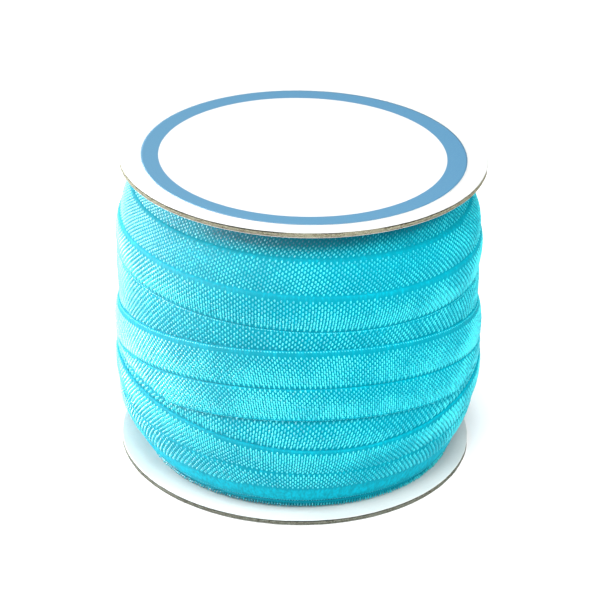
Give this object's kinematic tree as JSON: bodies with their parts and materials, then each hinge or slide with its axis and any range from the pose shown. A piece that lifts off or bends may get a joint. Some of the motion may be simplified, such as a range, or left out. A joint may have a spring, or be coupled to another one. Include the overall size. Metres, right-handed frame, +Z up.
{
  "type": "roll of fold-over elastic",
  "caption": "Barrel-shaped roll of turquoise fold-over elastic in overlapping turns between round white card flanges, with a blue-bordered round label on top.",
  "frame": {"origin": "bottom centre of the whole roll, on the surface where it stands", "axes": "+Z up along the spool's axis, the shortest extent; -Y is the front, where the turns cross as in the picture; +X is the right side seen from the front"},
  "size_m": [0.1024, 0.1024, 0.0886],
  "materials": {
    "elastic": "satin knitted nylon and elastane tape, turquoise",
    "board": "grey chipboard lined with white paper, bare tan edge",
    "label_paper": "coated white label with a printed sky-blue border"
  },
  "bodies": {
    "root": {"bottom_flange": "board", "elastic_roll": "elastic", "top_flange": "board", "label": "label_paper"}
  },
  "joints": []
}
